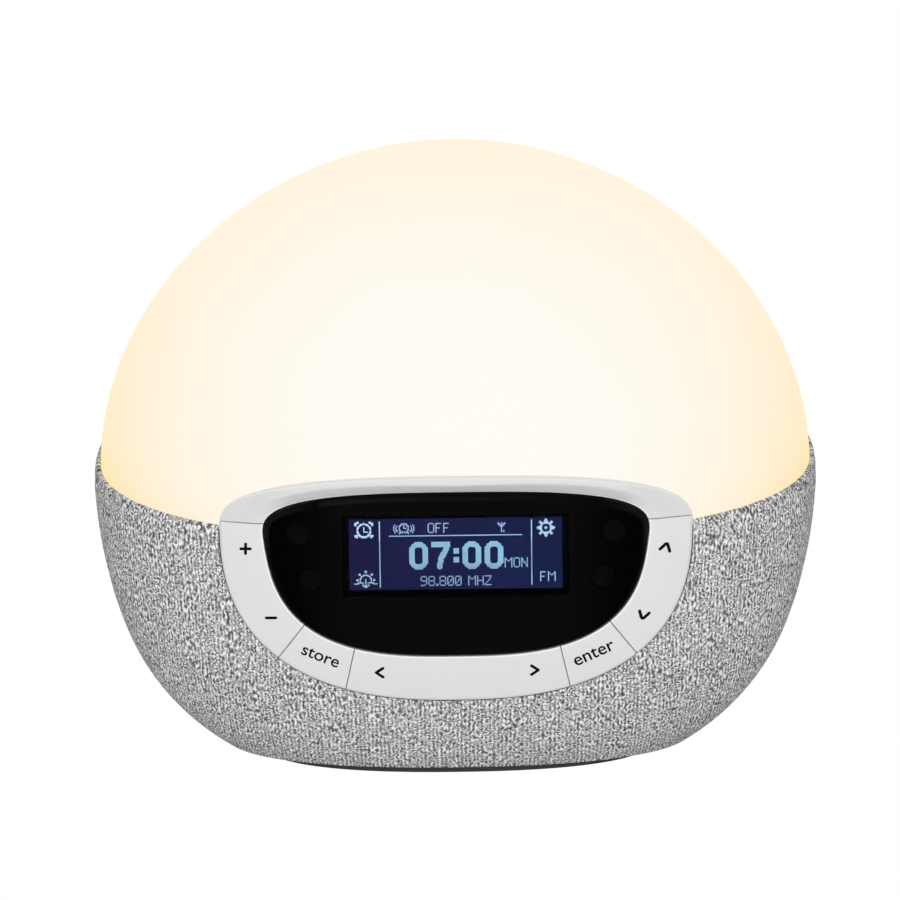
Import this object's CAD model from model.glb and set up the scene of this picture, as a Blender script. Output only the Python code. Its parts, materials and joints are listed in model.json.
import json
import math

import bmesh
import bpy
import numpy as np
from mathutils import Matrix, Vector


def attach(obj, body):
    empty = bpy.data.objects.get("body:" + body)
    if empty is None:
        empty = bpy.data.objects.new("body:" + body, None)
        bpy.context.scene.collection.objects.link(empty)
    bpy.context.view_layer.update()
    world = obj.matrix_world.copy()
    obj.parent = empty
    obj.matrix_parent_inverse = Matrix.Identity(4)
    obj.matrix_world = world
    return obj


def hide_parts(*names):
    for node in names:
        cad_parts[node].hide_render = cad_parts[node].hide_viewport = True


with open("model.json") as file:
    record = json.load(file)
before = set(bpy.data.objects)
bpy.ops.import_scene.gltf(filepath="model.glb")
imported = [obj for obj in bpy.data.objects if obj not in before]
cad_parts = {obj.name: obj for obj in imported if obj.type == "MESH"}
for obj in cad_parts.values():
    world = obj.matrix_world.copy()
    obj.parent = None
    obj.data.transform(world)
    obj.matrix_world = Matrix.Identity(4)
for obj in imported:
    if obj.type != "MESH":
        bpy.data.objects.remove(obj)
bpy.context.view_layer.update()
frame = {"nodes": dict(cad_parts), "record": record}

NODES = frame["nodes"]
MM = 0.001

# ---- the body's form, in millimetres, as in the CAD
CORE_HALF_WIDTH = 103.8
CORE_HALF_DEPTH = 57.3
WIDEST = 85.0
RISE = 95.0
REACH = 95.0
PLAN_N = 2.3
DOME_N = 1.95
BASE_N = 2.53
SEAM = 90.3
SLOPE = math.radians(15.3)
FLOOR_GAP = 3.0
CLOTH = 1.2
WALL = 2.2

PANEL_PROUD = 1.6
PANEL_LEAN = math.radians(1.4)
# Outlines seen from the front: half width, height of the widest level, rise, drop,
# exponents above and below, taper of the lower half
PANEL = (65.8, 76.3, 15.1, 49.8, 2.6, 2.5, 0.0)
WINDOW = (53.4, 75.0, 11.85, 34.8, 2.78, 3.02, 0.077)
LEAN_PIVOT = PANEL[1] - PANEL[3]
SLIT = 0.3  # between the lens and the ring
UPPER_SLIT = ((53.2, 77.9), (65.6, 78.2))
LOWER_SLIT = ((42.6, 49.0), (50.5, 38.6))
BOTTOM_SLIT = ((28.55, 42.7), (31.6, 29.3))
KEY_THICK = 2.4
POST_END = -41.5
SEAT_FRONT = -36.4
AHEAD = -80.0  # a Y in front of everything

SEAM_STEPS = 60  # rounds in which the seam's height settles
PANEL_STEPS = 30  # and the panel's depth


def share(z, offset):
    """The body's width at a height, as a share of its widest section."""
    z = np.asarray(z, float)
    up = np.clip((z - WIDEST) / (RISE + offset), 0, 1)
    down = np.clip((WIDEST - z) / (REACH + offset), 0, 1)
    return np.where(z >= WIDEST, (1 - up**DOME_N) ** (1 / DOME_N), (1 - down**BASE_N) ** (1 / BASE_N))


def signed(value, exponent):
    return np.sign(value) * np.abs(value) ** exponent


def ring_at(z, offset, angles):
    """Points of the body's section at a height, which may differ from column to column."""
    s = share(z, offset)
    x = (CORE_HALF_WIDTH + offset) * s * signed(np.cos(angles), 2 / PLAN_N)
    y = (CORE_HALF_DEPTH + offset) * s * signed(np.sin(angles), 2 / PLAN_N)
    return np.stack([x, y, np.broadcast_to(z, x.shape)], axis=1)


def seam_z(angles, offset, distance):
    """Height, in each column, of a surface parallel to the seam at a distance above it."""
    z = np.full(angles.shape, SEAM)
    for _ in range(SEAM_STEPS):
        y = (CORE_HALF_DEPTH + offset) * share(z, offset) * signed(np.sin(angles), 2 / PLAN_N)
        z = SEAM + (distance + math.sin(SLOPE) * y) / math.cos(SLOPE)
    return z


def panel_y(x, z, depth):
    """The leaning panel face's Y at points seen from the front, moved in by a depth."""
    x = np.asarray(x, float)
    z = np.asarray(z, float)
    offset = PANEL_PROUD - np.asarray(depth, float)
    y = np.full(np.broadcast(x, z, offset).shape, -CORE_HALF_DEPTH)
    for _ in range(PANEL_STEPS):
        height = LEAN_PIVOT - y * math.sin(PANEL_LEAN) + (z - LEAN_PIVOT) * math.cos(PANEL_LEAN)
        s = share(height, offset)
        across = np.abs(x) / ((CORE_HALF_WIDTH + offset) * s)
        upright = (CORE_HALF_DEPTH + offset) * s * (1 - across**PLAN_N) ** (1 / PLAN_N)
        y = (-upright - (z - LEAN_PIVOT) * math.sin(PANEL_LEAN)) / math.cos(PANEL_LEAN)
    return y


def on_panel(x, z, depth):
    """Points of the panel's face, moved in by a depth, from their places seen from the front."""
    return np.stack([x, panel_y(x, z, depth), z], axis=-1)


def outline(shape, grow, angles):
    """Points round the panel or the window, seen from the front."""
    half_width, centre, rise, drop, n_above, n_below, taper = shape
    above = np.sin(angles) >= 0
    n = np.where(above, n_above, n_below)
    climb = signed(np.sin(angles), 2 / n)
    x = (half_width + grow) * signed(np.cos(angles), 2 / n) * (1 + taper * np.minimum(climb, 0))
    z = centre + np.where(above, rise + grow, drop + grow) * climb
    return np.stack([x, z], axis=1)


def full_turn(count):
    return np.arange(count) * 2 * math.pi / count


def arc(centre, radius, angles):
    return np.stack([centre[0] + radius * np.cos(angles), centre[1] + radius * np.sin(angles)], axis=1)


def run_along(points):
    """How far along a line of points each of them is."""
    return np.concatenate([[0], np.cumsum(np.linalg.norm(np.diff(points, axis=0), axis=1))])


def smooth(value):
    """An even step from 0 to 1 made soft at both ends."""
    value = np.clip(value, 0, 1)
    return value * value * (3 - 2 * value)


# ---- mesh helpers
def new_object(name, points, faces):
    """An object on the scene from points in millimetres."""
    mesh = bpy.data.meshes.new(name)
    mesh.from_pydata((np.asarray(points, float) * MM).tolist(), [], faces)
    mesh.update()
    obj = bpy.data.objects.new(name, mesh)
    bpy.context.scene.collection.objects.link(obj)
    return obj


def make_object(name, points, faces, sharp=35.0):
    obj = new_object(name, points, faces)
    finish_mesh(obj, sharp)
    return obj


def finish_mesh(obj, sharp=35.0):
    """Faces outwards, smooth shading, and sharp edges where the form really turns."""
    work = bmesh.new()
    work.from_mesh(obj.data)
    bmesh.ops.remove_doubles(work, verts=work.verts, dist=1e-7)
    bmesh.ops.recalc_face_normals(work, faces=work.faces)
    work.to_mesh(obj.data)
    work.free()
    obj.data.shade_smooth()
    obj.data.set_sharp_from_angle(angle=math.radians(sharp))


def band(near, far, count, closed=True):
    """Faces between two rows of points."""
    last = count if closed else count - 1
    return [(near + c, near + (c + 1) % count, far + (c + 1) % count, far + c) for c in range(last)]


def quads(rows, columns, start, closed):
    """Faces of a grid of points stored row by row."""
    faces = []
    for r in range(rows - 1):
        faces += band(start + r * columns, start + (r + 1) * columns, columns, closed)
    return faces


def fan(start, count, tip):
    """Faces from a ring of points to a single one."""
    return [(start + c, start + (c + 1) % count, tip) for c in range(count)]


def cut(obj, cutter):
    """Cuts the other object, which is then removed, out of the first."""
    modifier = obj.modifiers.new("cut", "BOOLEAN")
    modifier.operation = "DIFFERENCE"
    modifier.solver = "EXACT"
    modifier.object = cutter
    graph = bpy.context.evaluated_depsgraph_get()
    mesh = bpy.data.meshes.new_from_object(obj.evaluated_get(graph))
    obj.modifiers.clear()
    old = obj.data
    obj.data = mesh
    mesh.name = obj.name
    bpy.data.meshes.remove(old)
    bpy.data.objects.remove(cutter)


def prism(points, y_front, y_back):
    """A prism along Y over an outline seen from the front."""
    count = len(points)
    front = [(x, y_front, z) for x, z in points]
    back = [(x, y_back, z) for x, z in points]
    faces = [tuple(range(count)), tuple(range(2 * count - 1, count - 1, -1)), *band(0, count, count)]
    return make_object("cutter", front + back, faces)


def seen_from_front(obj):
    """The X and Z of an object's vertices, in millimetres."""
    co = np.zeros(3 * len(obj.data.vertices), np.float32)
    obj.data.vertices.foreach_get("co", co)
    x, _, z = co.reshape(-1, 3).T.astype(float) / MM
    return x, z


def mark_points(obj, name, values):
    """Stores one number per vertex, for the material."""
    layer = obj.data.attributes.new(name, "FLOAT", "POINT")
    layer.data.foreach_set("value", np.asarray(values, np.float32))


# ---- shader helper
class Shader:
    """A node material, built by short calls that return output sockets."""

    def __init__(self, name):
        self.material = bpy.data.materials.new(name)
        self.material.use_nodes = True
        self.tree = self.material.node_tree
        self.tree.nodes.clear()
        # Object coordinates, in metres, as one vector and as three sockets
        self.place = self.node("TexCoord").outputs["Object"]
        self.x, self.y, self.z = self.node("SeparateXYZ", Vector=self.place).outputs

    def node(self, kind, settings=None, **inputs):
        made = self.tree.nodes.new("ShaderNode" + kind)
        for key, value in (settings or {}).items():
            setattr(made, key, value)
        for key, value in inputs.items():
            self.feed(made.inputs[key.replace("_", " ")], value)
        return made

    def feed(self, socket, value):
        if isinstance(value, bpy.types.NodeSocket):
            self.tree.links.new(value, socket)
        else:
            socket.default_value = value

    def fed(self, made, *values):
        """Feeds a node's inputs in their order and returns its first output."""
        for socket, value in zip(made.inputs, values):
            self.feed(socket, value)
        return made.outputs[0]

    def math(self, operation, *values, clamp=False):
        return self.fed(self.node("Math", {"operation": operation, "use_clamp": clamp}), *values)

    def vector(self, operation, first, second):
        return self.fed(self.node("VectorMath", {"operation": operation}), first, second)

    def power(self, value, unit, exponent):
        """A value's distance from 0, as a share of a unit, to an exponent."""
        return self.math("POWER", self.math("ABSOLUTE", self.math("DIVIDE", value, unit)), exponent)

    def mix(self, factor, first, second):
        made = self.node("Mix", {"data_type": "RGBA"})
        self.feed(made.inputs[0], factor)
        self.feed(made.inputs[6], first)
        self.feed(made.inputs[7], second)
        return made.outputs[2]

    def blend(self, factor, first, second):
        """A mix of two shaders."""
        return self.fed(self.node("MixShader"), factor, first, second)

    def mapping(self, vector, **settings):
        return self.node("Mapping", Vector=vector, **settings).outputs[0]

    def noise(self, vector, scale, detail=2.0, roughness=0.5):
        made = self.node("TexNoise", Vector=vector, Scale=scale, Detail=detail, Roughness=roughness)
        return made.outputs["Fac"]

    def span(self, value, low, high, to_low=0.0, to_high=1.0):
        return self.fed(self.node("MapRange"), value, low, high, to_low, to_high)

    def spread(self, value, to_low, to_high):
        """A noise's usual range, brought to another."""
        return self.span(value, 0.3, 0.7, to_low, to_high)

    def attribute(self, name):
        return self.node("Attribute", {"attribute_name": name}).outputs["Fac"]

    def bump(self, height, strength, distance):
        return self.node("Bump", Height=height, Strength=strength, Distance=distance).outputs[0]

    def principled(self, specular=None, **inputs):
        made = self.node("BsdfPrincipled", **inputs)
        if specular is not None:
            self.feed(made.inputs["Specular IOR Level"], specular)
        return made.outputs[0]

    def surface(self, shader):
        out = self.tree.nodes.new("ShaderNodeOutputMaterial")
        self.tree.links.new(shader, out.inputs["Surface"])
        return self.material


def solid(color, factor=1.0):
    """A colour with its alpha, made lighter or darker by a factor."""
    return tuple(min(1.0, c * factor) for c in color) + (1.0,)


# ---- materials
def plastic(name, color, roughness, grain=0.02, grain_scale=3500.0, specular=0.4, tint=0.06):
    """Moulded plastic, rubber or paint: a fine grain in its relief and a faint drift in its colour."""
    s = Shader(name)
    base = s.mix(s.noise(s.place, 35.0, 3.0), solid(color, 1 - tint), solid(color, 1 + tint))
    rough = s.spread(s.noise(s.place, 220.0, 4.0), roughness * 0.92, min(1.0, roughness * 1.08))
    normal = s.bump(s.noise(s.place, grain_scale), 0.25, grain * MM)
    return s.surface(s.principled(specular, Base_Color=base, Roughness=rough, Normal=normal))


def key_material(name, shade, edge_mark):
    """Pale grey plastic of the keys and the hood, polished brighter along the marked edges."""
    s = Shader(name)
    lighter = shade + 0.023
    drift = s.noise(s.place, 35.0, 3.0)
    base = s.mix(drift, (shade, shade, shade, 1.0), (lighter, lighter, lighter - 0.001, 1.0))
    base = s.mix(s.attribute(edge_mark), base, (0.92, 0.92, 0.915, 1.0))
    rough = s.spread(s.noise(s.place, 220.0, 4.0), 0.38, 0.46)
    normal = s.bump(s.noise(s.place, 3500.0), 0.25, 0.012 * MM)
    return s.surface(s.principled(0.35, Base_Color=base, Roughness=rough, Normal=normal))


def metal(name, color, roughness, stretch=(1.0, 1.0, 1.0)):
    """Metal with fine brushing or milling marks."""
    s = Shader(name)
    marks = s.noise(s.mapping(s.place, Scale=stretch), 900.0, 4.0, 0.6)
    rough = s.span(marks, 0.3, 0.7, roughness * 0.75, roughness * 1.25)
    base = s.mix(marks, solid(color, 0.88), solid(color))
    normal = s.bump(marks, 0.2, 0.02 * MM)
    return s.surface(s.principled(Base_Color=base, Metallic=1.0, Roughness=rough, Normal=normal))


DOME_MIDDLE = (0.990, 0.940, 0.885, 1.0)
DOME_EDGE = (0.985, 0.785, 0.455, 1.0)
DOME_WHITEST = 105.0  # height of the level where the lamp is
DOME_FALL = 75.0  # from there to where it is warm
SEAM_GLOW = 6.0  # height over which the seam's warmer light fades


def dome_material():
    """Milky diffuser lit from inside: nearly white in the middle, warmer to its rim and its seam."""
    s = Shader("lit_dome")
    across = s.power(s.x, CORE_HALF_WIDTH * MM, 2.8)
    upward = s.power(s.math("SUBTRACT", s.z, DOME_WHITEST * MM), DOME_FALL * MM, 2.2)
    rim = s.math("ADD", s.math("MULTIPLY", across, 0.80), s.math("MULTIPLY", upward, 0.42))
    above = s.math(
        "SUBTRACT",
        s.math("MULTIPLY", s.math("SUBTRACT", s.z, SEAM * MM), math.cos(SLOPE)),
        s.math("MULTIPLY", s.y, math.sin(SLOPE)),
    )
    low = s.math("MULTIPLY", s.math("POWER", math.e, s.math("DIVIDE", above, -SEAM_GLOW * MM)), 0.35)
    cloud = s.spread(s.noise(s.place, 18.0), -0.03, 0.03)
    warmth = s.math("ADD", s.math("ADD", rim, s.math("MULTIPLY", low, across)), cloud, clamp=True)
    shader = s.principled(
        0.12,
        Base_Color=(0.045, 0.043, 0.038, 1.0),
        Roughness=0.6,
        Emission_Color=s.mix(warmth, DOME_MIDDLE, DOME_EDGE),
        Emission_Strength=0.975,
        Normal=s.bump(s.noise(s.place, 2600.0), 0.15, 0.02 * MM),
    )
    return s.surface(shader)


COLUMN_PITCH = 1.15  # of the cloth's upright ribs
FLOAT_LEAN = 0.08  # radians that its yarn leans
YARN_STRAY = 1.3  # how far the yarn strays from its course
YARN_TONES = ((0.12, 0.10, 0.102), (0.50, 0.45, 0.45), (0.92, 0.95, 0.95))


def strayed(s, uv):
    """The cloth's coordinates, pulled about by a noise."""
    wander = s.node("TexNoise", Vector=uv, Scale=0.55, Detail=2.0).outputs["Color"]
    pulled = s.vector("SUBTRACT", wander, (0.5, 0.5, 0.5))
    return s.vector("ADD", uv, s.vector("MULTIPLY", pulled, (YARN_STRAY, YARN_STRAY, YARN_STRAY)))


def cloth_material():
    """Melange knit, from UVs in millimetres: short wavy floats of light and dark yarn over fine ribs."""
    s = Shader("melange_cloth")
    uv = s.node("UVMap", {"uv_map": "thread"}).outputs[0]
    moved = strayed(s, uv)
    long_way = s.mapping(s.mapping(moved, Rotation=(0.0, 0.0, FLOAT_LEAN)), Scale=(1.0, 0.50, 1.0))
    yarn = s.node("Mix", Factor=s.span(s.noise(uv, 0.16), 0.42, 0.58))
    s.feed(yarn.inputs[2], s.span(s.noise(long_way, 1.35, 1.5), 0.35, 0.65))
    s.feed(yarn.inputs[3], s.span(s.noise(moved, 1.6, 1.5), 0.35, 0.65))
    along = s.node("SeparateXYZ", Vector=moved).outputs[0]
    rib = s.math("SINE", s.math("MULTIPLY", along, 2 * math.pi / COLUMN_PITCH))
    broad = s.spread(s.noise(s.mapping(uv, Scale=(1.0, 0.16, 1.0)), 0.42, 3.0, 0.6), -0.06, 0.06)
    fibre = s.spread(s.noise(uv, 4.0, 2.0, 0.65), -0.10, 0.10)
    ribbed = s.math("ADD", yarn.outputs[0], s.math("MULTIPLY", rib, 0.15))
    tone = s.math("ADD", ribbed, s.math("ADD", broad, fibre))
    ramp = s.node("ValToRGB", Fac=tone)
    stops = ramp.color_ramp.elements
    stops.new(YARN_TONES[1][0])
    for stop, (position, light, blue) in zip(stops, YARN_TONES):
        stop.position = position
        stop.color = (light, light, blue, 1.0)
    normal = s.bump(tone, 0.7, 0.25 * MM)
    return s.surface(s.principled(0.10, Base_Color=ramp.outputs[0], Roughness=0.92, Normal=normal))


LCD_LEFT, LCD_RIGHT, LCD_LOW, LCD_HIGH = -29.63, 29.31, 58.85, 78.8
LCD_FACE = -53.9
GRID_W, GRID_H = 192, 64  # cells of the display


def inside_box(s, left, right, low, high, soft):
    """1 inside a rectangle seen from the front, 0 outside."""
    total = s.span(s.x, (left - soft) * MM, left * MM)
    sides = ((s.x, right + soft, right), (s.z, low - soft, low), (s.z, high + soft, high))
    for value, outer, inner in sides:
        total = s.math("MULTIPLY", total, s.span(value, outer * MM, inner * MM))
    return total


def window_material():
    """Glossy smoked lens, printed black round a clear field for the display."""
    s = Shader("smoked_lens")
    clear = inside_box(s, LCD_LEFT - 1.6, LCD_RIGHT + 1.6, LCD_LOW - 1.2, LCD_HIGH + 1.8, 0.3)
    haze = s.span(s.noise(s.place, 400.0, 4.0), 0.35, 0.7, 0.06, 0.10)
    leak = s.span(s.math("ABSOLUTE", s.x), 46.0 * MM, 30.0 * MM)
    ink = s.mix(leak, (0.0002, 0.0002, 0.0002, 1.0), (0.0026, 0.0026, 0.0026, 1.0))
    shine = s.span(s.attribute("bevel"), 0.0, 1.0, 0.018, 0.16)
    normal = s.bump(s.noise(s.place, 60.0), 0.04, 0.05 * MM)
    printed = s.principled(shine, Base_Color=ink, Roughness=haze, Normal=normal)
    glass = s.node("BsdfTransparent", Color=(0.90, 0.92, 0.94, 1.0)).outputs[0]
    gloss = s.node("BsdfGlossy", Color=(1.0, 1.0, 1.0, 1.0), Roughness=0.08).outputs[0]
    return s.surface(s.blend(clear, printed, s.blend(0.0012, glass, gloss)))


def lcd_material():
    """Display glass: a lit blue ground with violet to its left, black outside the lit field."""
    s = Shader("display_ground")
    lit = inside_box(s, LCD_LEFT, LCD_RIGHT, LCD_LOW, LCD_HIGH, 0.08)
    along = s.span(s.x, LCD_LEFT * MM, LCD_RIGHT * MM)
    ground = s.mix(along, (0.0150, 0.0135, 0.0640, 1.0), (0.0110, 0.0180, 0.0780, 1.0))
    drift = s.spread(s.noise(s.place, 55.0), 0.86, 1.14)
    cell = s.math("SINE", s.math("MULTIPLY", s.x, 2 * math.pi * GRID_W / (LCD_RIGHT - LCD_LEFT) / MM))
    lattice = s.span(cell, -1.0, 1.0, 0.94, 1.03)
    shader = s.principled(
        0.02,
        Base_Color=(0.0006, 0.0006, 0.0008, 1.0),
        Roughness=0.2,
        Emission_Color=ground,
        Emission_Strength=s.math("MULTIPLY", s.math("MULTIPLY", lit, drift), lattice),
    )
    return s.surface(shader)


DIGIT_CYAN = (0.33, 0.65, 0.87, 1.0)
SMALL_BLUE = (0.33, 0.50, 0.74, 1.0)
TOP_VIOLET = (0.46, 0.60, 0.97, 1.0)
CORNER_WHITE = (0.62, 0.90, 1.15, 1.0)
SIDE_BLUE = (0.36, 0.53, 0.80, 1.0)
SIDE_PALE = (0.46, 0.68, 0.90, 1.0)


def character_material():
    """The lit cells: pale cyan digits, whiter small signs, brightest in the upper corners."""
    s = Shader("display_cells")
    up = s.span(s.z, LCD_LOW * MM, LCD_HIGH * MM)
    middle = s.mix(s.span(up, 0.30, 0.40), SMALL_BLUE, DIGIT_CYAN)
    middle = s.mix(s.span(up, 0.74, 0.80), middle, TOP_VIOLET)
    side = s.mix(s.span(up, 0.22, 0.30), SIDE_PALE, SIDE_BLUE)
    side = s.mix(s.span(up, 0.66, 0.72), side, CORNER_WHITE)
    color = s.mix(s.span(s.math("ABSOLUTE", s.x), 19.5 * MM, 19.8 * MM), middle, side)
    shader = s.principled(
        Base_Color=(0.01, 0.02, 0.02, 1.0),
        Roughness=0.4,
        Emission_Color=color,
        Emission_Strength=s.spread(s.noise(s.place, 140.0), 0.88, 1.1),
    )
    return s.surface(shader)


def board_material():
    """Green solder mask over faint copper tracks."""
    s = Shader("circuit_board")
    tracks = s.node("TexBrick", Vector=s.mapping(s.place, Rotation=(0.0, 0.0, 0.785)), Scale=260.0)
    tracks.inputs["Color1"].default_value = (0.010, 0.110, 0.045, 1.0)
    tracks.inputs["Color2"].default_value = (0.014, 0.150, 0.060, 1.0)
    tracks.inputs["Mortar"].default_value = (0.030, 0.230, 0.090, 1.0)
    rough = s.spread(s.noise(s.place, 500.0, 3.0), 0.25, 0.4)
    normal = s.bump(tracks.outputs["Fac"], 0.2, 0.03 * MM)
    return s.surface(s.principled(Base_Color=tracks.outputs[0], Roughness=rough, Normal=normal))


RIBBON_PITCH = 1.27


def ribbon_material():
    """Flat cable: fine ribs across its width."""
    s = Shader("flat_cable")
    ribs = s.math("SINE", s.math("MULTIPLY", s.x, 2 * math.pi / (RIBBON_PITCH * MM)))
    base = s.mix(s.span(ribs, -1.0, 1.0), (0.42, 0.42, 0.42, 1.0), (0.60, 0.60, 0.59, 1.0))
    return s.surface(s.principled(Base_Color=base, Roughness=0.5, Normal=s.bump(ribs, 0.4, 0.15 * MM)))


DARK = (0.045, 0.045, 0.048)
RUBBER = (0.060, 0.060, 0.061)
FOAM = (0.06, 0.06, 0.062)
finish = {
    "dome": dome_material(),
    "cloth": cloth_material(),
    "dark_plastic": plastic("dark_plastic", DARK, 0.55, grain=0.08, grain_scale=1600.0, tint=0.12),
    "rubber": plastic("foot_rubber", RUBBER, 0.82, 0.06, 1200.0, specular=0.25, tint=0.15),
    "steel": metal("zinc_steel", (0.56, 0.56, 0.57), 0.34),
    "key_plastic": key_material("key_plastic", 0.722, "rim"),
    "window": window_material(),
    "silicone": plastic("silicone", (0.5, 0.5, 0.5), 0.6, specular=0.3),
    "circuit_board": board_material(),
    "chip": plastic("chip_epoxy", (0.03, 0.03, 0.031), 0.5, grain=0.05),
    "lcd": lcd_material(),
    "backlight": plastic("light_guide", (0.82, 0.86, 0.92), 0.2, specular=0.5),
    "white_plastic": plastic("white_reflector", (0.86, 0.86, 0.85), 0.5),
    "aluminium": metal("milled_aluminium", (0.76, 0.77, 0.78), 0.3, (1.0, 12.0, 1.0)),
    "white_board": plastic("white_mask", (0.86, 0.86, 0.84), 0.3),
    "led": plastic("led_phosphor", (0.9, 0.75, 0.25), 0.35),
    "steel_sheet": metal("pressed_sheet", (0.6, 0.6, 0.61), 0.28, (1.0, 1.0, 8.0)),
    "paper": plastic("paper_cone", (0.05, 0.05, 0.05), 0.85, grain=0.2, grain_scale=900.0, tint=0.2),
    "ferrite": plastic("ferrite", (0.09, 0.09, 0.095), 0.6, grain=0.1, grain_scale=1400.0),
    "foam": plastic("gasket_foam", FOAM, 0.95, grain=0.3, grain_scale=1100.0, tint=0.25),
    "capacitor": metal("capacitor_sleeve", (0.12, 0.13, 0.2), 0.35),
    "header_plastic": plastic("nylon_header", (0.82, 0.79, 0.70), 0.45),
    "ribbon": ribbon_material(),
    "wire": plastic("wire_sleeve", (0.42, 0.03, 0.025), 0.45),
    "socket_plastic": plastic("socket_plastic", (0.02, 0.02, 0.021), 0.35),
    "contact_metal": metal("nickel_contact", (0.72, 0.71, 0.68), 0.2, (1.0, 6.0, 1.0)),
    "soft_key": plastic("soft_key", (0.0018, 0.0018, 0.0018), 0.45, specular=0.014),
}
hood_plastic = key_material("hood_plastic", 0.672, "dome_rim")
ink_black = plastic("legend_ink", (0.0025, 0.0025, 0.0026), 0.6, grain=0.01, specular=0.06)
for part in frame["record"]["subparts"]:
    node = NODES[part["node"]]
    node.data.materials.clear()
    node.data.materials.append(finish[part["material_slot"]])


def place_piece(obj, body, slot, replaced=(), material=None):
    obj.data.materials.clear()
    obj.data.materials.append(material or finish[slot])
    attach(obj, body)
    if replaced:
        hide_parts(*replaced)
    return obj


# ---- dome
SEAM_DROP = -1.0  # the visible seam, below the level of the shell's upper edge
DOME_DEPTH = WALL + 1.6  # from the dome's face to its inner one
DOME_UNDER_HOOD = 0.25  # how far the dome goes on under the hood
DOME_CLEAR = 0.06  # its distance from the other plates
# The rim below the seam, from the inside out: distances from the shell's edge and from the dome's face
DOME_RIM = (
    (-3.6, -3.8),
    (-3.8, -2.8),
    (-0.05, -2.8),
    (-0.05, -0.18),
    (SEAM_DROP - 1.2, -0.18),
    (SEAM_DROP - 1.25, -0.1),
)


def dome_rings(offset, first, count, top_angle, angles):
    """Sections from a distance above the seam up to near the top."""
    z0 = seam_z(angles, offset, first)
    up = np.clip((z0 - WIDEST) / (RISE + offset), 0, 1) ** (DOME_N / 2)
    down = np.clip((WIDEST - z0) / (REACH + offset), 0, 1) ** (BASE_N / 2)
    start = np.where(z0 >= WIDEST, np.arcsin(up), -np.arcsin(down))
    rings = []
    for k in range(count):
        a = start + (top_angle - start) * k / (count - 1)
        z = np.where(
            a >= 0,
            WIDEST + (RISE + offset) * np.sin(np.clip(a, 0, None)) ** (2 / DOME_N),
            WIDEST - (REACH + offset) * np.sin(np.clip(-a, 0, None)) ** (2 / BASE_N),
        )
        rings.append(ring_at(z, offset, angles))
    return rings


def build_dome():
    angles = full_turn(300)
    columns = len(angles)
    rings = [ring_at(seam_z(angles, offset, distance), offset, angles) for distance, offset in DOME_RIM]
    rings += dome_rings(0.0, SEAM_DROP - 1.2, 96, math.radians(89.2), angles)
    inner = dome_rings(-DOME_DEPTH, -3.5, 40, math.radians(88.6), angles)
    top = len(rings) * columns
    start = top + 1
    tip = start + len(inner) * columns
    crown = [(0, 0, WIDEST + RISE)]
    inner_crown = [(0, 0, WIDEST + RISE - DOME_DEPTH)]
    points = np.concatenate([*rings, crown, *inner, inner_crown])
    faces = quads(len(rings), columns, 0, True) + fan(top - columns, columns, top)
    faces += quads(len(inner), columns, start, True) + fan(tip - columns, columns, tip)
    faces += band(0, start, columns)
    dome = make_object("dome", points, faces)
    angles = full_turn(360)
    under_hood = (outline(PANEL, 0.0, angles)[:, 1] > UPPER_SLIT[1][1] + 1.0)[:, None]
    covered = outline(PANEL, -DOME_UNDER_HOOD, angles)
    opening = np.where(under_hood, covered, outline(PANEL, DOME_CLEAR, angles))
    cut(dome, prism(opening, AHEAD, SEAT_FRONT))
    finish_mesh(dome)
    place_piece(dome, "root", "dome", ["dome_diffuser"])


build_dome()

# ---- cloth cover
CLOTH_LEVELS = (6.0, 30.0, 42.0, 55.0, 68.0, 80.0, 96.0)
CLOTH_FULLNESS = (0.0, -0.25, -0.5, -0.4, 0.2, 0.7, 0.2)
CLOTH_EDGE = SEAM_DROP - 0.3  # middle of the rolled upper edge, from the shell's upper edge
EDGE_ROLL = CLOTH / 2 + 0.15  # its radius
HEM = 0.55  # radius of the lower edge
BACKING = -0.02  # the cloth's inner face, from the body's core
CLOTH_CLEAR = 0.3  # its distance from the panel
OPENING_HALF_WIDTH = 31.3  # for the connectors, at the back
OPENING_HALF_HEIGHT = 9.8
OPENING_CORNER = 6.3
OPENING_LEVEL = 24.5


def cloth_offset(z):
    """Distance of the cloth's face from the body's core: fuller under the seam, drawn in below."""
    return CLOTH + np.interp(z, CLOTH_LEVELS, CLOTH_FULLNESS)


def way_up():
    """Heights, and how long the cloth's profile is up to each of them."""
    z = np.linspace(FLOOR_GAP + 0.6, 112.0, 400)
    profile = np.stack([(CORE_HALF_WIDTH + CLOTH) * share(z, CLOTH), z], axis=1)
    return z, run_along(profile)


def cloth_rings(angles, table_z, length):
    """Sections of the cloth: its rolled edge, its face, its hem and its inner face."""
    rings = []
    for turn in np.linspace(math.pi, 0, 9):
        offset = EDGE_ROLL + EDGE_ROLL * math.cos(turn) + BACKING
        distance = CLOTH_EDGE + EDGE_ROLL * math.sin(turn)
        rings.append(ring_at(seam_z(angles, offset, distance), offset, angles))
    for distance, swell in ((-0.4, 0.24), (-1.0, 0.16)):
        offset = CLOTH + swell
        rings.append(ring_at(seam_z(angles, offset, CLOTH_EDGE + distance), offset, angles))
    top_length = np.interp(seam_z(angles, CLOTH, CLOTH_EDGE - 1.8), table_z, length)
    for left in np.linspace(1, 0, 76):
        z = np.interp(top_length * left, length, table_z)
        rings.append(ring_at(z, cloth_offset(z), angles))
    for turn in np.linspace(0, math.pi, 7)[1:]:
        z = np.full(len(angles), FLOOR_GAP + HEM - HEM * math.sin(turn))
        rings.append(ring_at(z, CLOTH / 2 + CLOTH / 2 * math.cos(turn), angles))
    inner_length = np.interp(seam_z(angles, 0.0, CLOTH_EDGE), table_z, length)
    for risen in np.linspace(0, 1, 40)[1:]:
        rings.append(ring_at(np.interp(inner_length * risen, length, table_z), BACKING, angles))
    return rings


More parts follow.
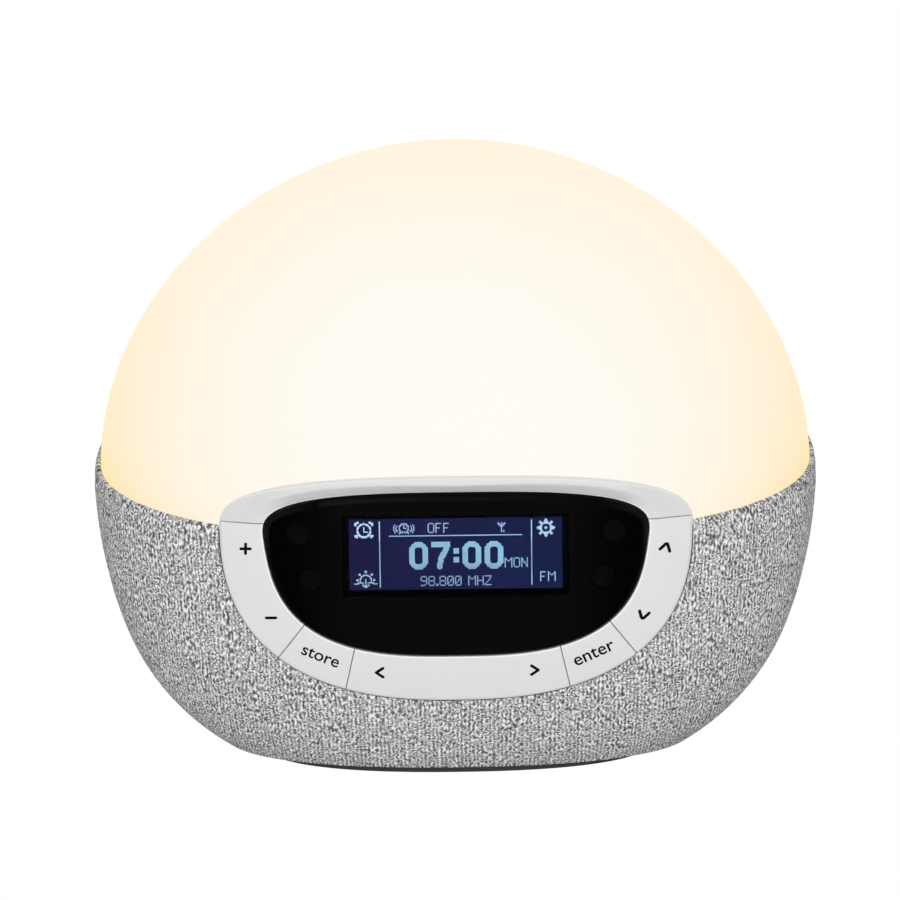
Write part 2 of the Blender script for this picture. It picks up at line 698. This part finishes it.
def map_thread(mesh, points, angles, heights):
    """UVs in millimetres: round each section from the middle of the front, meeting at the back, and up."""
    columns = len(angles)
    back = columns // 4
    widest = np.roll(ring_at(np.full(columns, WIDEST), CLOTH, angles), -back, axis=0)
    u = run_along(np.concatenate([widest, widest[:1]]))
    u -= u[columns // 2]
    vertex = np.zeros(len(mesh.loops), int)
    mesh.loops.foreach_get("vertex_index", vertex)
    column = (vertex.reshape(-1, 4) - back) % columns
    wraps = (column.max(axis=1) == columns - 1) & (column.min(axis=1) == 0)
    column = np.where(wraps[:, None] & (column == 0), columns, column)
    spread = share(points[:, 2], CLOTH)
    uv = np.stack([u[column].ravel() * spread[vertex], heights[vertex]], axis=1)
    mesh.uv_layers.new(name="thread").data.foreach_set("uv", uv.ravel())


def connector_opening():
    """The rounded opening at the back, seen from the front."""
    corners = []
    for quarter, (side, up) in enumerate(((1, 1), (-1, 1), (-1, -1), (1, -1))):
        x = side * (OPENING_HALF_WIDTH - OPENING_CORNER)
        z = OPENING_LEVEL + up * (OPENING_HALF_HEIGHT - OPENING_CORNER)
        corners.append(arc((x, z), OPENING_CORNER, np.radians(90 * quarter + np.linspace(0, 90, 9))))
    return np.concatenate(corners)


def build_cloth():
    angles = full_turn(420)
    columns = len(angles)
    table_z, length = way_up()
    rings = cloth_rings(angles, table_z, length)
    points = np.concatenate(rings)
    faces = quads(len(rings), columns, 0, True)
    faces += band((len(rings) - 1) * columns, 0, columns)
    cloth = new_object("cloth", points, faces)
    map_thread(cloth.data, points, angles, np.interp(points[:, 2], table_z, length))
    finish_mesh(cloth)
    cut(cloth, prism(outline(PANEL, CLOTH_CLEAR, full_turn(360)), AHEAD, SEAT_FRONT))
    cut(cloth, prism(connector_opening(), 30.0, -AHEAD))
    finish_mesh(cloth)
    place_piece(cloth, "root", "cloth", ["cloth_cover"])


build_cloth()

# ---- the ring of keys and the hood
SLIT_HALF = 0.085  # half of the line seen between two keys
SLIT_SPARE = 3.0  # how far before its inner end a slit's line is looked for
END_ROUND = 0.3  # of a plate's edge at a slit
KEY_ROUNDS = (0.45, 0.9)  # of its edges at the lens and at the cloth
END_MARKS = np.array([0.0, 0.03, 0.08, 0.15, 0.25, 0.4, 0.6])  # distances of grid lines from an edge
LENS_MARKS = np.array([0.0, 0.05, 0.12, 0.22, 0.34, 0.5, 0.8])
CLOTH_MARKS = np.array([1.3, 1.0, 0.8, 0.62, 0.46, 0.32, 0.2, 0.1, 0.04, 0.0])
PLATE_STEPS = 14
LENS_RIM = 0.30  # width of the polished edge at the lens
EDGE_FADE = 0.25  # over which a marked edge ends
UNDERCUT = 1.4  # of the plates next to a side rocker's ends
UNDERCUT_FADE = 4.5
POST_RADIUS = 1.6  # of the posts that press on the mat
POST_SIDES = 24
ROCKER_POSTS = ((58.3, 70.3), (51.9, 50.8))
CORNER_POSTS = ((38.05, 39.8),)
BOTTOM_POSTS = ((21.7, 35.2), (-21.7, 35.2))
RIGHT = False
LEFT = True


def crossing(shape, grow, slit, shift):
    """The angle at which an outline crosses a slit's line, moved sideways by a shift, on the right side."""
    inner, outer = np.array(slit[0]), np.array(slit[1])
    length = np.linalg.norm(outer - inner)
    run = (outer - inner) / length
    normal = np.array([-run[1], run[0]])
    angles = np.linspace(-math.pi / 2, math.pi / 2, 20001)
    points = outline(shape, grow, angles) - (inner + normal * shift)
    side = points @ normal
    ahead = points @ run
    flips = np.nonzero((side[:-1] * side[1:] <= 0) & (ahead[:-1] > -SLIT_SPARE))[0]
    wanted = 0 if shape is WINDOW else length
    return angles[flips[np.argmin(np.abs(ahead[flips] - wanted))]]


def ring_edge(shape, grow, first, last, middle):
    """Points along an outline between two slits: close together near both, even between."""
    ends = []
    for slit, shift, flip in (first, last):
        angle = crossing(shape, grow, slit, shift)
        ends.append(math.pi - angle if flip else angle)
    if ends[1] < ends[0]:
        ends[1] += 2 * math.pi
    points = outline(shape, grow, np.linspace(ends[0], ends[1], 4000))
    run = run_along(points)
    between = np.linspace(END_MARKS[-1], run[-1] - END_MARKS[-1], middle + 2)[1:-1]
    at = np.concatenate([END_MARKS, between, (run[-1] - END_MARKS)[::-1]])
    return np.stack([np.interp(at, run, points[:, 0]), np.interp(at, run, points[:, 1])], axis=1)


def edge_distance(shape, grow, x, z):
    """Distance of points, seen from the front, from the lens's or the panel's outline."""
    edge = outline(shape, grow, full_turn(900))
    spots = np.stack([np.ravel(x), np.ravel(z)], axis=1)
    far = np.full(len(spots), np.inf)
    for start, end in zip(edge, np.roll(edge, -1, axis=0)):
        run = end - start
        along = np.clip((spots - start) @ run / (run @ run), 0, 1)
        across = spots - start - along[:, None] * run
        far = np.minimum(far, np.hypot(across[:, 0], across[:, 1]))
    return far.reshape(np.shape(x))


def near_edge(obj, shape, grow, reach):
    """1 at the vertices within a reach of an outline, falling to 0 a little farther from it."""
    far = edge_distance(shape, grow, *seen_from_front(obj))
    return np.clip((reach + EDGE_FADE - far) / EDGE_FADE, 0, 1)


def near_lens(obj, reach):
    return near_edge(obj, WINDOW, SLIT / 2, reach)


def dip(distance, radius):
    """How deep a rounded edge has fallen away, at a distance in from it."""
    return radius * (1 - np.sqrt(1 - np.clip(1 - distance / radius, 0, 1) ** 2))


def wall_faces(rows, columns, under):
    """Faces from the border of a grid of points to the border of the same grid stored under it."""
    border = [(0, c) for c in range(columns)] + [(r, columns - 1) for r in range(1, rows)]
    border += [(rows - 1, c) for c in range(columns - 2, -1, -1)]
    border += [(r, 0) for r in range(rows - 2, 0, -1)]
    at = [r * columns + c for r, c in border]
    return [(q, p, under + p, under + q) for p, q in zip(at, at[1:] + at[:1])]


def add_post(x, z, points, faces):
    start = len(points)
    circle = arc((x, z), POST_RADIUS, full_turn(POST_SIDES))
    for y in (float(panel_y(x, z, KEY_THICK - 0.3)), POST_END):
        points += [(px, y, pz) for px, pz in circle]
    faces += quads(2, POST_SIDES, start, True)
    faces.append(tuple(range(start, start + POST_SIDES)))
    faces.append(tuple(range(start + 2 * POST_SIDES - 1, start + POST_SIDES - 1, -1)))


def plate(
    name,
    node,
    first,
    last,
    body=None,
    mirror=False,
    sculpt=None,
    rounds=KEY_ROUNDS,
    posts=(),
    middle=60,
    undercut=(0.0, 0.0),
):
    """A plate of the ring between two slits.

    Each end is a slit, a shift from its line and the side it is on. An end's undercut is how far its wall
    leans back under the face, which leaves room for a rocker's end to swing.
    """
    inner = ring_edge(WINDOW, SLIT / 2, first, last, middle)
    outer = ring_edge(PANEL, 0.0, first, last, middle)
    width = np.linalg.norm(outer - inner, axis=1)
    near = LENS_MARKS * rounds[0] / KEY_ROUNDS[0]
    far = CLOTH_MARKS * rounds[1] / KEY_ROUNDS[1]
    low, high = near[-1] / width, 1 - far[0] / width
    rows = [d / width for d in near]
    rows += [low + (high - low) * k / PLATE_STEPS for k in range(1, PLATE_STEPS)]
    rows += [1 - d / width for d in far]
    across = np.stack(rows)
    flat = inner[None] + (outer - inner)[None] * across[..., None]
    middle_line = (inner + outer) / 2
    run = run_along(middle_line)
    from_first = np.broadcast_to(run[None], across.shape)
    from_last = run[-1] - from_first
    depth = dip(across * width[None], rounds[0]) + dip((1 - across) * width[None], rounds[1])
    depth = depth + dip(np.minimum(from_first, from_last), END_ROUND)
    if sculpt is not None:
        depth = depth + sculpt(flat[..., 0], flat[..., 1])
    front = on_panel(flat[..., 0], flat[..., 1], np.clip(depth, -3, KEY_THICK - 0.1))
    forward = np.gradient(middle_line, axis=0)
    forward = forward / np.linalg.norm(forward, axis=1)[:, None]
    pull = undercut[0] * np.clip(1 - from_first / UNDERCUT_FADE, 0, 1)
    pull = pull - undercut[1] * np.clip(1 - from_last / UNDERCUT_FADE, 0, 1)
    moved = flat + forward[None] * pull[..., None]
    under = on_panel(moved[..., 0], moved[..., 1], KEY_THICK)
    count, columns = across.shape
    points = list(np.concatenate([front.reshape(-1, 3), under.reshape(-1, 3)]))
    faces = quads(count, columns, 0, False)
    faces += [f[::-1] for f in quads(count, columns, count * columns, False)]
    faces += wall_faces(count, columns, count * columns)
    for x, z in posts:
        add_post(x, z, points, faces)
    if mirror:
        points = [(-p[0], p[1], p[2]) for p in points]
        faces = [f[::-1] for f in faces]
    obj = make_object(name, points, faces, 40.0)
    mark_points(obj, "rim", near_lens(obj, LENS_RIM))
    return place_piece(obj, body or node, "key_plastic", [node])


ROCKER_ENDS = ((LOWER_SLIT, SLIT_HALF, RIGHT), (UPPER_SLIT, -SLIT_HALF, RIGHT))
CORNER_ENDS = ((BOTTOM_SLIT, SLIT_HALF, RIGHT), (LOWER_SLIT, -SLIT_HALF, RIGHT))
BOTTOM_ENDS = ((BOTTOM_SLIT, -SLIT_HALF, LEFT), (BOTTOM_SLIT, -SLIT_HALF, RIGHT))
HOOD_ENDS = ((UPPER_SLIT, SLIT_HALF, RIGHT), (UPPER_SLIT, SLIT_HALF, LEFT))
corner = {"posts": CORNER_POSTS, "middle": 36, "undercut": (0.0, UNDERCUT)}
plate("rocker_right", "up_down_key", *ROCKER_ENDS, posts=ROCKER_POSTS)
plate("rocker_left", "plus_minus_key", *ROCKER_ENDS, posts=ROCKER_POSTS, mirror=True)
plate("corner_right", "right_corner_key", *CORNER_ENDS, **corner)
plate("corner_left", "left_corner_key", *CORNER_ENDS, **corner, mirror=True)
plate("rocker_bottom", "left_right_key", *BOTTOM_ENDS, posts=BOTTOM_POSTS, middle=90)

BROW_START = 1.3  # depth of the hood's face next to the lens
BROW_CREST = -1.8  # and along its crest
BROW_WIDTH = 2.35  # from the lens to the crest, in the middle
BROW_WIDENING = 0.02
BROW_SHARPNESS = 24.0  # of the crest
BROW_END = 60.0  # half the width over which the brow stands out
BROW_FADE = 16.0


def brow(x, z):
    """The hood's brow: from the lens it slopes out to a crest, and it fades away towards its ends."""
    fade = smooth((BROW_END - np.abs(x)) / BROW_FADE)
    climb = edge_distance(WINDOW, SLIT / 2, x, z) / (BROW_WIDTH + BROW_WIDENING * np.abs(x))
    climb = -np.log(np.exp(-BROW_SHARPNESS * climb) + math.exp(-BROW_SHARPNESS)) / BROW_SHARPNESS
    return fade * (BROW_START + (BROW_CREST - BROW_START) * np.clip(climb, 0, 1))


def build_hood():
    hood = plate(
        "hood_plate",
        "hood",
        *HOOD_ENDS,
        body="root",
        sculpt=brow,
        rounds=(0.35, 0.35),
        middle=200,
        undercut=(UNDERCUT, UNDERCUT),
    )
    # Its edge under the dome is lit through
    edges = np.maximum(near_lens(hood, LENS_RIM), near_edge(hood, PANEL, 0.0, 0.05))
    mark_points(hood, "dome_rim", edges)
    hood.data.materials[0] = hood_plastic


build_hood()

# ---- display window
SOFT_KEYS = ((43.6, 75.4), (40.5, 62.4))
SOFT_HOLE = 3.4
BEVEL_MARKS = (0.0, 0.03, 0.07, 0.13, 0.2, 0.3, 0.45, 0.6, 0.75, 0.9, 1.0, 1.1, 1.4)
BEVEL_FALL = 0.37  # how deep the bevel goes, as a share of its width
LENS_ROUND = 0.3  # the rounded edge outside it, and how deep that goes
LENS_DROP = 0.45
LENS_HUB = (0.0, 66.0)
LENS_STEPS = 22
LENS_THICK = 2.2


def bevel_width(z):
    """The lens's bevel is widest along its upper edge and narrow along the lower one."""
    return np.interp(z, (45.0, 60.0, 72.0, 81.0), (0.45, 1.0, 1.0, 1.75))


def bevel_gloss(obj):
    """How much of the bevel's gloss each vertex has: most in the two upper corners."""
    x, z = seen_from_front(obj)
    corner = np.interp(np.abs(x), (38.0, 48.0), (0.0, 1.0))
    height = np.interp(z, (42.0, 54.0, 68.0, 77.0), (0.0, 0.15, 0.15, 1.0))
    return near_lens(obj, bevel_width(z) + SLIT - 0.05) * (0.05 + 0.95 * corner * height)


def build_window():
    count = 300
    edge = outline(WINDOW, -SLIT / 2, full_turn(count))
    step = np.roll(edge, -1, axis=0) - np.roll(edge, 1, axis=0)
    inward = np.stack([-step[:, 1], step[:, 0]], axis=1) / np.linalg.norm(step, axis=1)[:, None]
    rim = bevel_width(edge[:, 1])
    rings = []
    for d in BEVEL_MARKS:
        flat = edge + inward * (d * rim)[:, None]
        depth = BEVEL_FALL * rim * max(0.0, 1 - d)
        depth += LENS_DROP * np.clip(1 - d * rim / LENS_ROUND, 0, 1) ** 2
        rings.append(on_panel(flat[:, 0], flat[:, 1], depth))
    places = [flat + (np.array(LENS_HUB) - flat) * k / LENS_STEPS for k in range(1, LENS_STEPS)]
    rings += [on_panel(place[:, 0], place[:, 1], 0.0) for place in places]
    faces = quads(len(rings), count, 0, True)
    start = len(rings) * count
    faces.append(tuple(range(start - count, start)))
    rings += [on_panel(place[:, 0], place[:, 1], LENS_THICK) for place in (edge, places[5])]
    faces += [f[::-1] for f in quads(2, count, start, True)]
    faces += band(0, start, count)
    faces.append(tuple(range(start + 2 * count - 1, start + count - 1, -1)))
    window = make_object("lens", np.concatenate(rings), faces, 50.0)
    for x, z in SOFT_KEYS:
        for side in (1, -1):
            circle = arc((side * x, z), SOFT_HOLE, full_turn(48))
            cut(window, prism(circle, AHEAD, AHEAD / 2))
    finish_mesh(window, 12.0)
    mark_points(window, "bevel", bevel_gloss(window))
    place_piece(window, "root", "window", ["display_window"])


build_window()

# ---- legends on the keys
LEGEND_LIFT = 0.035
STROKE = 0.82
BOLD_STROKE = 0.90
SIGN_ARM = 1.35
HALF_CHEVRON = [(-1.42, -1.2), (-0.5, 0.25), (-0.36, 0.46), (-0.18, 0.6)]
CHEVRON = HALF_CHEVRON + [(0.0, 0.65)] + [(-x, z) for x, z in reversed(HALF_CHEVRON)]
ARROW = [(0.95, 1.35), (-0.95, 0.0), (0.95, -1.35)]
BAR = [(-SIGN_ARM, 0), (SIGN_ARM, 0)]
POST = [(0, -SIGN_ARM), (0, SIGN_ARM)]


def stroke_ring(start, end, width):
    """The outline of a round-ended stroke."""
    half_turn = math.atan2(end[1] - start[1], end[0] - start[0]) + np.radians(np.linspace(-90, 90, 13))
    return np.concatenate([arc(end, width / 2, half_turn), arc(start, width / 2, half_turn + math.pi)])


def turned(points, centre, turn):
    a = math.radians(turn)
    return [
        (centre[0] + x * math.cos(a) - z * math.sin(a), centre[1] + x * math.sin(a) + z * math.cos(a))
        for x, z in points
    ]


def legend(name, body, strokes, width=STROKE):
    """Printed strokes on a key's face."""
    rings = []
    for path in strokes:
        rings += [stroke_ring(start, end, width) for start, end in zip(path, path[1:])]
    sides = len(rings[0])
    faces = [tuple(range(k * sides, (k + 1) * sides)) for k in range(len(rings))]
    flat = np.concatenate(rings)
    obj = new_object(name, on_panel(flat[:, 0], flat[:, 1], -LEGEND_LIFT), faces)
    return place_piece(obj, body, "key_plastic", material=ink_black)


PLUS = (-58.4, 70.7)
legend("legend_plus", "plus_minus_key", [turned(BAR, PLUS, 3.3), turned(POST, PLUS, -2.7)])
legend("legend_minus", "plus_minus_key", [turned(BAR, (-51.8, 50.95), 3.5)])
legend("legend_up", "up_down_key", [turned(CHEVRON, (58.2, 70.0), -17.0)], BOLD_STROKE)
upside_down = [(x, -z) for x, z in CHEVRON]
legend("legend_down", "up_down_key", [turned(upside_down, (51.8, 50.1), -17.0)], BOLD_STROKE)
legend("legend_left", "left_right_key", [turned(ARROW, (-21.8, 35.3), 0)])
legend("legend_right", "left_right_key", [turned([(-x, z) for x, z in ARROW], (21.5, 35.5), 0)])


def word(name, body, text, centre, turn, length):
    """A printed word on the panel's face."""
    curve = bpy.data.curves.new(name, "FONT")
    curve.body = text
    curve.align_x = "CENTER"
    curve.align_y = "CENTER"
    curve.resolution_u = 4
    curve.offset = 0.010
    probe = bpy.data.objects.new(name, curve)
    bpy.context.scene.collection.objects.link(probe)
    graph = bpy.context.evaluated_depsgraph_get()
    mesh = bpy.data.meshes.new_from_object(probe.evaluated_get(graph))
    bpy.data.objects.remove(probe)
    co = np.array([v.co for v in mesh.vertices])[:, :2]
    low, high = co.min(0), co.max(0)
    flat = (co - (high + low) / 2) * length / (high - low)[0]
    placed = np.array(turned(flat, centre, turn))
    points = on_panel(placed[:, 0], placed[:, 1], -LEGEND_LIFT)
    mesh.vertices.foreach_set("co", (points * MM).astype(np.float32).ravel())
    mesh.update()
    obj = bpy.data.objects.new(name, mesh)
    bpy.context.scene.collection.objects.link(obj)
    return place_piece(obj, body, "key_plastic", material=ink_black)


word("legend_left_word", "left_corner_key", "store", (-38.2, 39.9), -21.5, 10.9)
word("legend_right_word", "right_corner_key", "enter", (38.0, 39.9), 23.0, 12.0)

# ---- the display's lit cells: columns from the left, rows from the top
CELL_GAP = 0.015
CELL_LIFT = 0.02
cells = np.zeros((GRID_H, GRID_W), bool)
COLUMN, ROW = np.meshgrid(np.arange(GRID_W) + 0.5, np.arange(GRID_H) + 0.5)


def segment_distance(x0, y0, x1, y1):
    run = np.array([x1 - x0, y1 - y0], float)
    square = max(float(run @ run), 1e-9)
    t = np.clip(((COLUMN - x0) * run[0] + (ROW - y0) * run[1]) / square, 0, 1)
    return np.hypot(COLUMN - x0 - t * run[0], ROW - y0 - t * run[1])


def draw_line(*path, width=1.2):
    for (x0, y0), (x1, y1) in zip(path, path[1:]):
        cells[segment_distance(x0, y0, x1, y1) < width / 2] = True


def draw_ring(cx, cy, radius, width=1.6, first=0.0, last=360.0):
    far = np.abs(np.hypot(COLUMN - cx, ROW - cy) - radius) < width / 2
    turn = np.degrees(np.arctan2(cy - ROW, COLUMN - cx)) % 360
    cells[far & (turn >= first) & (turn <= last)] = True


def draw_disc(cx, cy, radius):
    cells[np.hypot(COLUMN - cx, ROW - cy) < radius] = True


def draw_bar(x0, y0, x1, y1):
    cells[y0:y1, x0:x1] = True


SMALL = {
    "O": ".####. #....# #....# #....# #....# #....# #....# #....# .####.",
    "F": "#####. #..... #..... #..... ####.. #..... #..... #..... #.....",
    "M": "#.....# ##...## #.#.#.# #..#..# #.....# #.....# #.....# #.....# #.....#",
    "N": "#....# ##...# ##...# #.#..# #.##.# #..#.# #...## #...## #....#",
    "H": "#....# #....# #....# #....# ###### #....# #....# #....# #....#",
    "Z": "###### .....# ....#. ....#. ...#.. ..#... .#.... #..... ######",
    "0": ".####. #....# #...## #..#.# #..#.# #.#..# ##...# #....# .####.",
    "8": ".####. #....# #....# #....# .####. #....# #....# #....# .####.",
    "9": ".####. #....# #....# #....# .##### .....# .....# ....#. ####..",
    ".": ".. .. .. .. .. .. .. ## ##",
    " ": "....",
}


def draw_text(text, left, top):
    for letter in text:
        lines = SMALL[letter].split()
        for r, line in enumerate(lines):
            for c, mark in enumerate(line):
                if mark == "#":
                    cells[top + r, left + c] = True
        left += len(lines[0]) + 1


ZERO_W, ZERO_H, ZERO_ROUND, ZERO_STROKE = 17, 25, 8.3, 4.6


def draw_zero(left, top):
    qx = np.abs(COLUMN - left - ZERO_W / 2) - (ZERO_W / 2 - ZERO_ROUND)
    qy = np.abs(ROW - top - ZERO_H / 2) - (ZERO_H / 2 - ZERO_ROUND)
    outside = np.hypot(np.clip(qx, 0, None), np.clip(qy, 0, None))
    far = outside + np.minimum(np.maximum(qx, qy), 0) - ZERO_ROUND
    cells[(far < 0) & (far > -ZERO_STROKE)] = True


def draw_time_and_words():
    for left in (54, 102, 122):
        draw_zero(left, 21)
    draw_bar(74, 21, 91, 26)
    draw_line((88.4, 24), (87.4, 28), (82.5, 36.5), (81.5, 43.6), width=5.0)
    for top in (27, 35):
        draw_bar(94, top, 99, top + 5)
    draw_text("OFF", 71, 4)
    draw_text("MON", 140, 36)
    draw_text("98.800 MHZ", 64, 52)
    draw_text("FM", 172, 49)
    draw_bar(36, 15, 156, 16)
    draw_bar(27, 2, 28, 62)
    draw_bar(164, 2, 165, 61)


def draw_alarm_clock(x, y):
    draw_ring(x, y, 5.9, 1.7)
    draw_line((x, y - 3.0), (x, y + 1.3), (x + 2.6, y + 1.3), width=1.1)
    for side in (-1, 1):
        bell = [(x + side * 7.9, y - 4.7), (x + side * 7.1, y - 6.4), (x + side * 5.4, y - 7.4)]
        draw_line(*bell, width=1.9)
        draw_disc(x + side * 6.9, y + 5.2, 1.45)


def draw_ringing_clock(x, y):
    draw_ring(x, y, 4.0, 1.1, 0, 235)
    draw_ring(x, y, 4.0, 1.1, 305, 360)
    draw_line((x, y - 3.0), (x, y + 0.5), (x + 2.0, y), width=1.0)
    for side in (-1, 1):
        draw_line((x + side * 0.8, y + 3.5), (x + side * 4.0, y + 4.6))
        for far, reach in ((5.6, 2.6), (7.8, 3.6)):
            bends = ((0.0, -1.0), (1.4, -0.4), (1.6, 0.0), (1.4, 0.4), (0.0, 1.0))
            bracket = [(x + side * (far + bend), y + 0.3 + reach * rise) for bend, rise in bends]
            draw_line(*bracket, width=1.0)


def draw_aerial():
    draw_line((137.5, 4.5), (137.5, 13.0), width=1.0)
    draw_line((134.0, 4.5), (137.5, 8.2), (141.0, 4.5), width=1.0)
    draw_bar(139, 11, 140, 13)


def draw_gear(x, y):
    draw_ring(x, y, 4.7, 1.7)
    draw_disc(x, y, 1.2)
    for a in full_turn(8):
        across, down = math.cos(a), math.sin(a)
        draw_line((x + 4.8 * across, y + 4.8 * down), (x + 7.2 * across, y + 7.2 * down), width=2.3)


def draw_setting_sun(x, y):
    draw_ring(x, y, 4.9, 1.4, 0, 180)
    for side in (-1, 1):
        draw_line((x + side * 4.9, y), (x + side * 5.2, y + 2.0), (x + side * 2.6, y + 2.2), width=1.3)
        draw_line((x + side * 5.2, y + 2.0), (x + side * 8.0, y + 3.0), (x + side * 10.4, y + 3.4))
        draw_line((x + side * 2.4, y + 4.0), (x, y + 6.2), width=1.6)
    draw_line((x, y - 1.0), (x, y + 5.5), width=1.4)
    for a in np.radians((2, 46, 90, 134, 178)):
        draw_disc(x + 7.7 * math.cos(a), y - 0.2 - 7.6 * math.sin(a), 1.1)


def build_cells():
    """A small lit square for each cell that is on."""
    pitch_x = (LCD_RIGHT - LCD_LEFT) / GRID_W
    pitch_z = (LCD_HIGH - LCD_LOW) / GRID_H
    points, faces = [], []
    for r, c in zip(*np.nonzero(cells)):
        x0, x1 = LCD_LEFT + c * pitch_x + CELL_GAP, LCD_LEFT + (c + 1) * pitch_x - CELL_GAP
        z0, z1 = LCD_HIGH - (r + 1) * pitch_z + CELL_GAP, LCD_HIGH - r * pitch_z - CELL_GAP
        faces.append(tuple(range(len(points), len(points) + 4)))
        points += [(x, LCD_FACE - CELL_LIFT, z) for x, z in ((x0, z0), (x1, z0), (x1, z1), (x0, z1))]
    obj = new_object("display_cells", points, faces)
    place_piece(obj, "root", "lcd", material=character_material())


draw_time_and_words()
draw_alarm_clock(13.5, 10.2)
draw_ringing_clock(49.5, 8.5)
draw_aerial()
draw_gear(177.5, 9.5)
draw_setting_sun(14.5, 55.4)
build_cells()

# ---- floor in millimetres, lights and camera in metres
FLOOR_HALF = 6000.0
FILL = 0.48
WHITE = (1.0, 1.0, 1.0, 1.0)


def build_floor():
    """A pale floor, white to the camera."""
    corners = [(x * FLOOR_HALF, y * FLOOR_HALF, 0) for x, y in ((-1, -1), (1, -1), (1, 1), (-1, 1))]
    floor = new_object("floor", corners, [(0, 1, 2, 3)])
    s = Shader("pale_floor")
    pale = s.mix(s.noise(s.place, 3.0), (0.92, 0.92, 0.92, 1.0), (0.94, 0.94, 0.94, 1.0))
    diffuse = s.node("BsdfDiffuse", Color=pale).outputs[0]
    white = s.node("Emission", Color=WHITE, Strength=1.0).outputs[0]
    seen = s.node("LightPath").outputs["Is Camera Ray"]
    floor.data.materials.append(s.surface(s.blend(seen, diffuse, white)))


def build_world():
    """White to the camera, a softer fill for everything else."""
    world = bpy.data.worlds.new("studio")
    bpy.context.scene.world = world
    world.use_nodes = True
    tree = world.node_tree
    tree.nodes.clear()
    mix = tree.nodes.new("ShaderNodeMixShader")
    ray = tree.nodes.new("ShaderNodeLightPath")
    tree.links.new(ray.outputs["Is Camera Ray"], mix.inputs[0])
    for index, strength in ((1, FILL), (2, 1.0)):
        background = tree.nodes.new("ShaderNodeBackground")
        background.inputs[0].default_value = WHITE
        background.inputs[1].default_value = strength
        tree.links.new(background.outputs[0], mix.inputs[index])
    out = tree.nodes.new("ShaderNodeOutputWorld")
    tree.links.new(mix.outputs[0], out.inputs[0])


def softbox(name, place, target, size, power):
    light = bpy.data.lights.new(name, "AREA")
    light.shape = "RECTANGLE"
    light.size, light.size_y = size
    light.energy = power
    obj = bpy.data.objects.new(name, light)
    obj.location = place
    obj.rotation_mode = "QUATERNION"
    obj.rotation_quaternion = (Vector(target) - Vector(place)).to_track_quat("-Z", "Y")
    bpy.context.scene.collection.objects.link(obj)


IMAGE = 900  # pixels, each way
FOCAL = 2890  # pixels
SHIFT = -5  # pixels
SENSOR = 36.0
ELEVATION = math.radians(9.5)
DISTANCE = 0.850
AIM = 0.0889  # height of the point that the camera looks at
ROLL = math.radians(-0.73)


def build_camera():
    data = bpy.data.cameras.new("camera")
    data.sensor_width = SENSOR
    data.lens = FOCAL / IMAGE * SENSOR
    data.shift_x = SHIFT / IMAGE
    data.clip_start = 0.05
    data.clip_end = 50.0
    camera = bpy.data.objects.new("camera", data)
    bpy.context.scene.collection.objects.link(camera)
    away = (0, -DISTANCE * math.cos(ELEVATION), AIM + DISTANCE * math.sin(ELEVATION))
    tilt = Matrix.Rotation(math.radians(90) - ELEVATION, 4, "X")
    camera.matrix_world = Matrix.Translation(away) @ tilt @ Matrix.Rotation(ROLL, 4, "Z")
    bpy.context.scene.camera = camera


build_floor()
build_world()
softbox("front_light", (-0.15, -1.5, 0.45), (0, 0, 0.08), (1.2, 0.8), 9.5)
softbox("low_light", (0.25, -1.2, 0.12), (0, 0, 0.06), (0.9, 0.2), 2.5)
build_camera()
bpy.context.scene.view_settings.view_transform = "Standard"
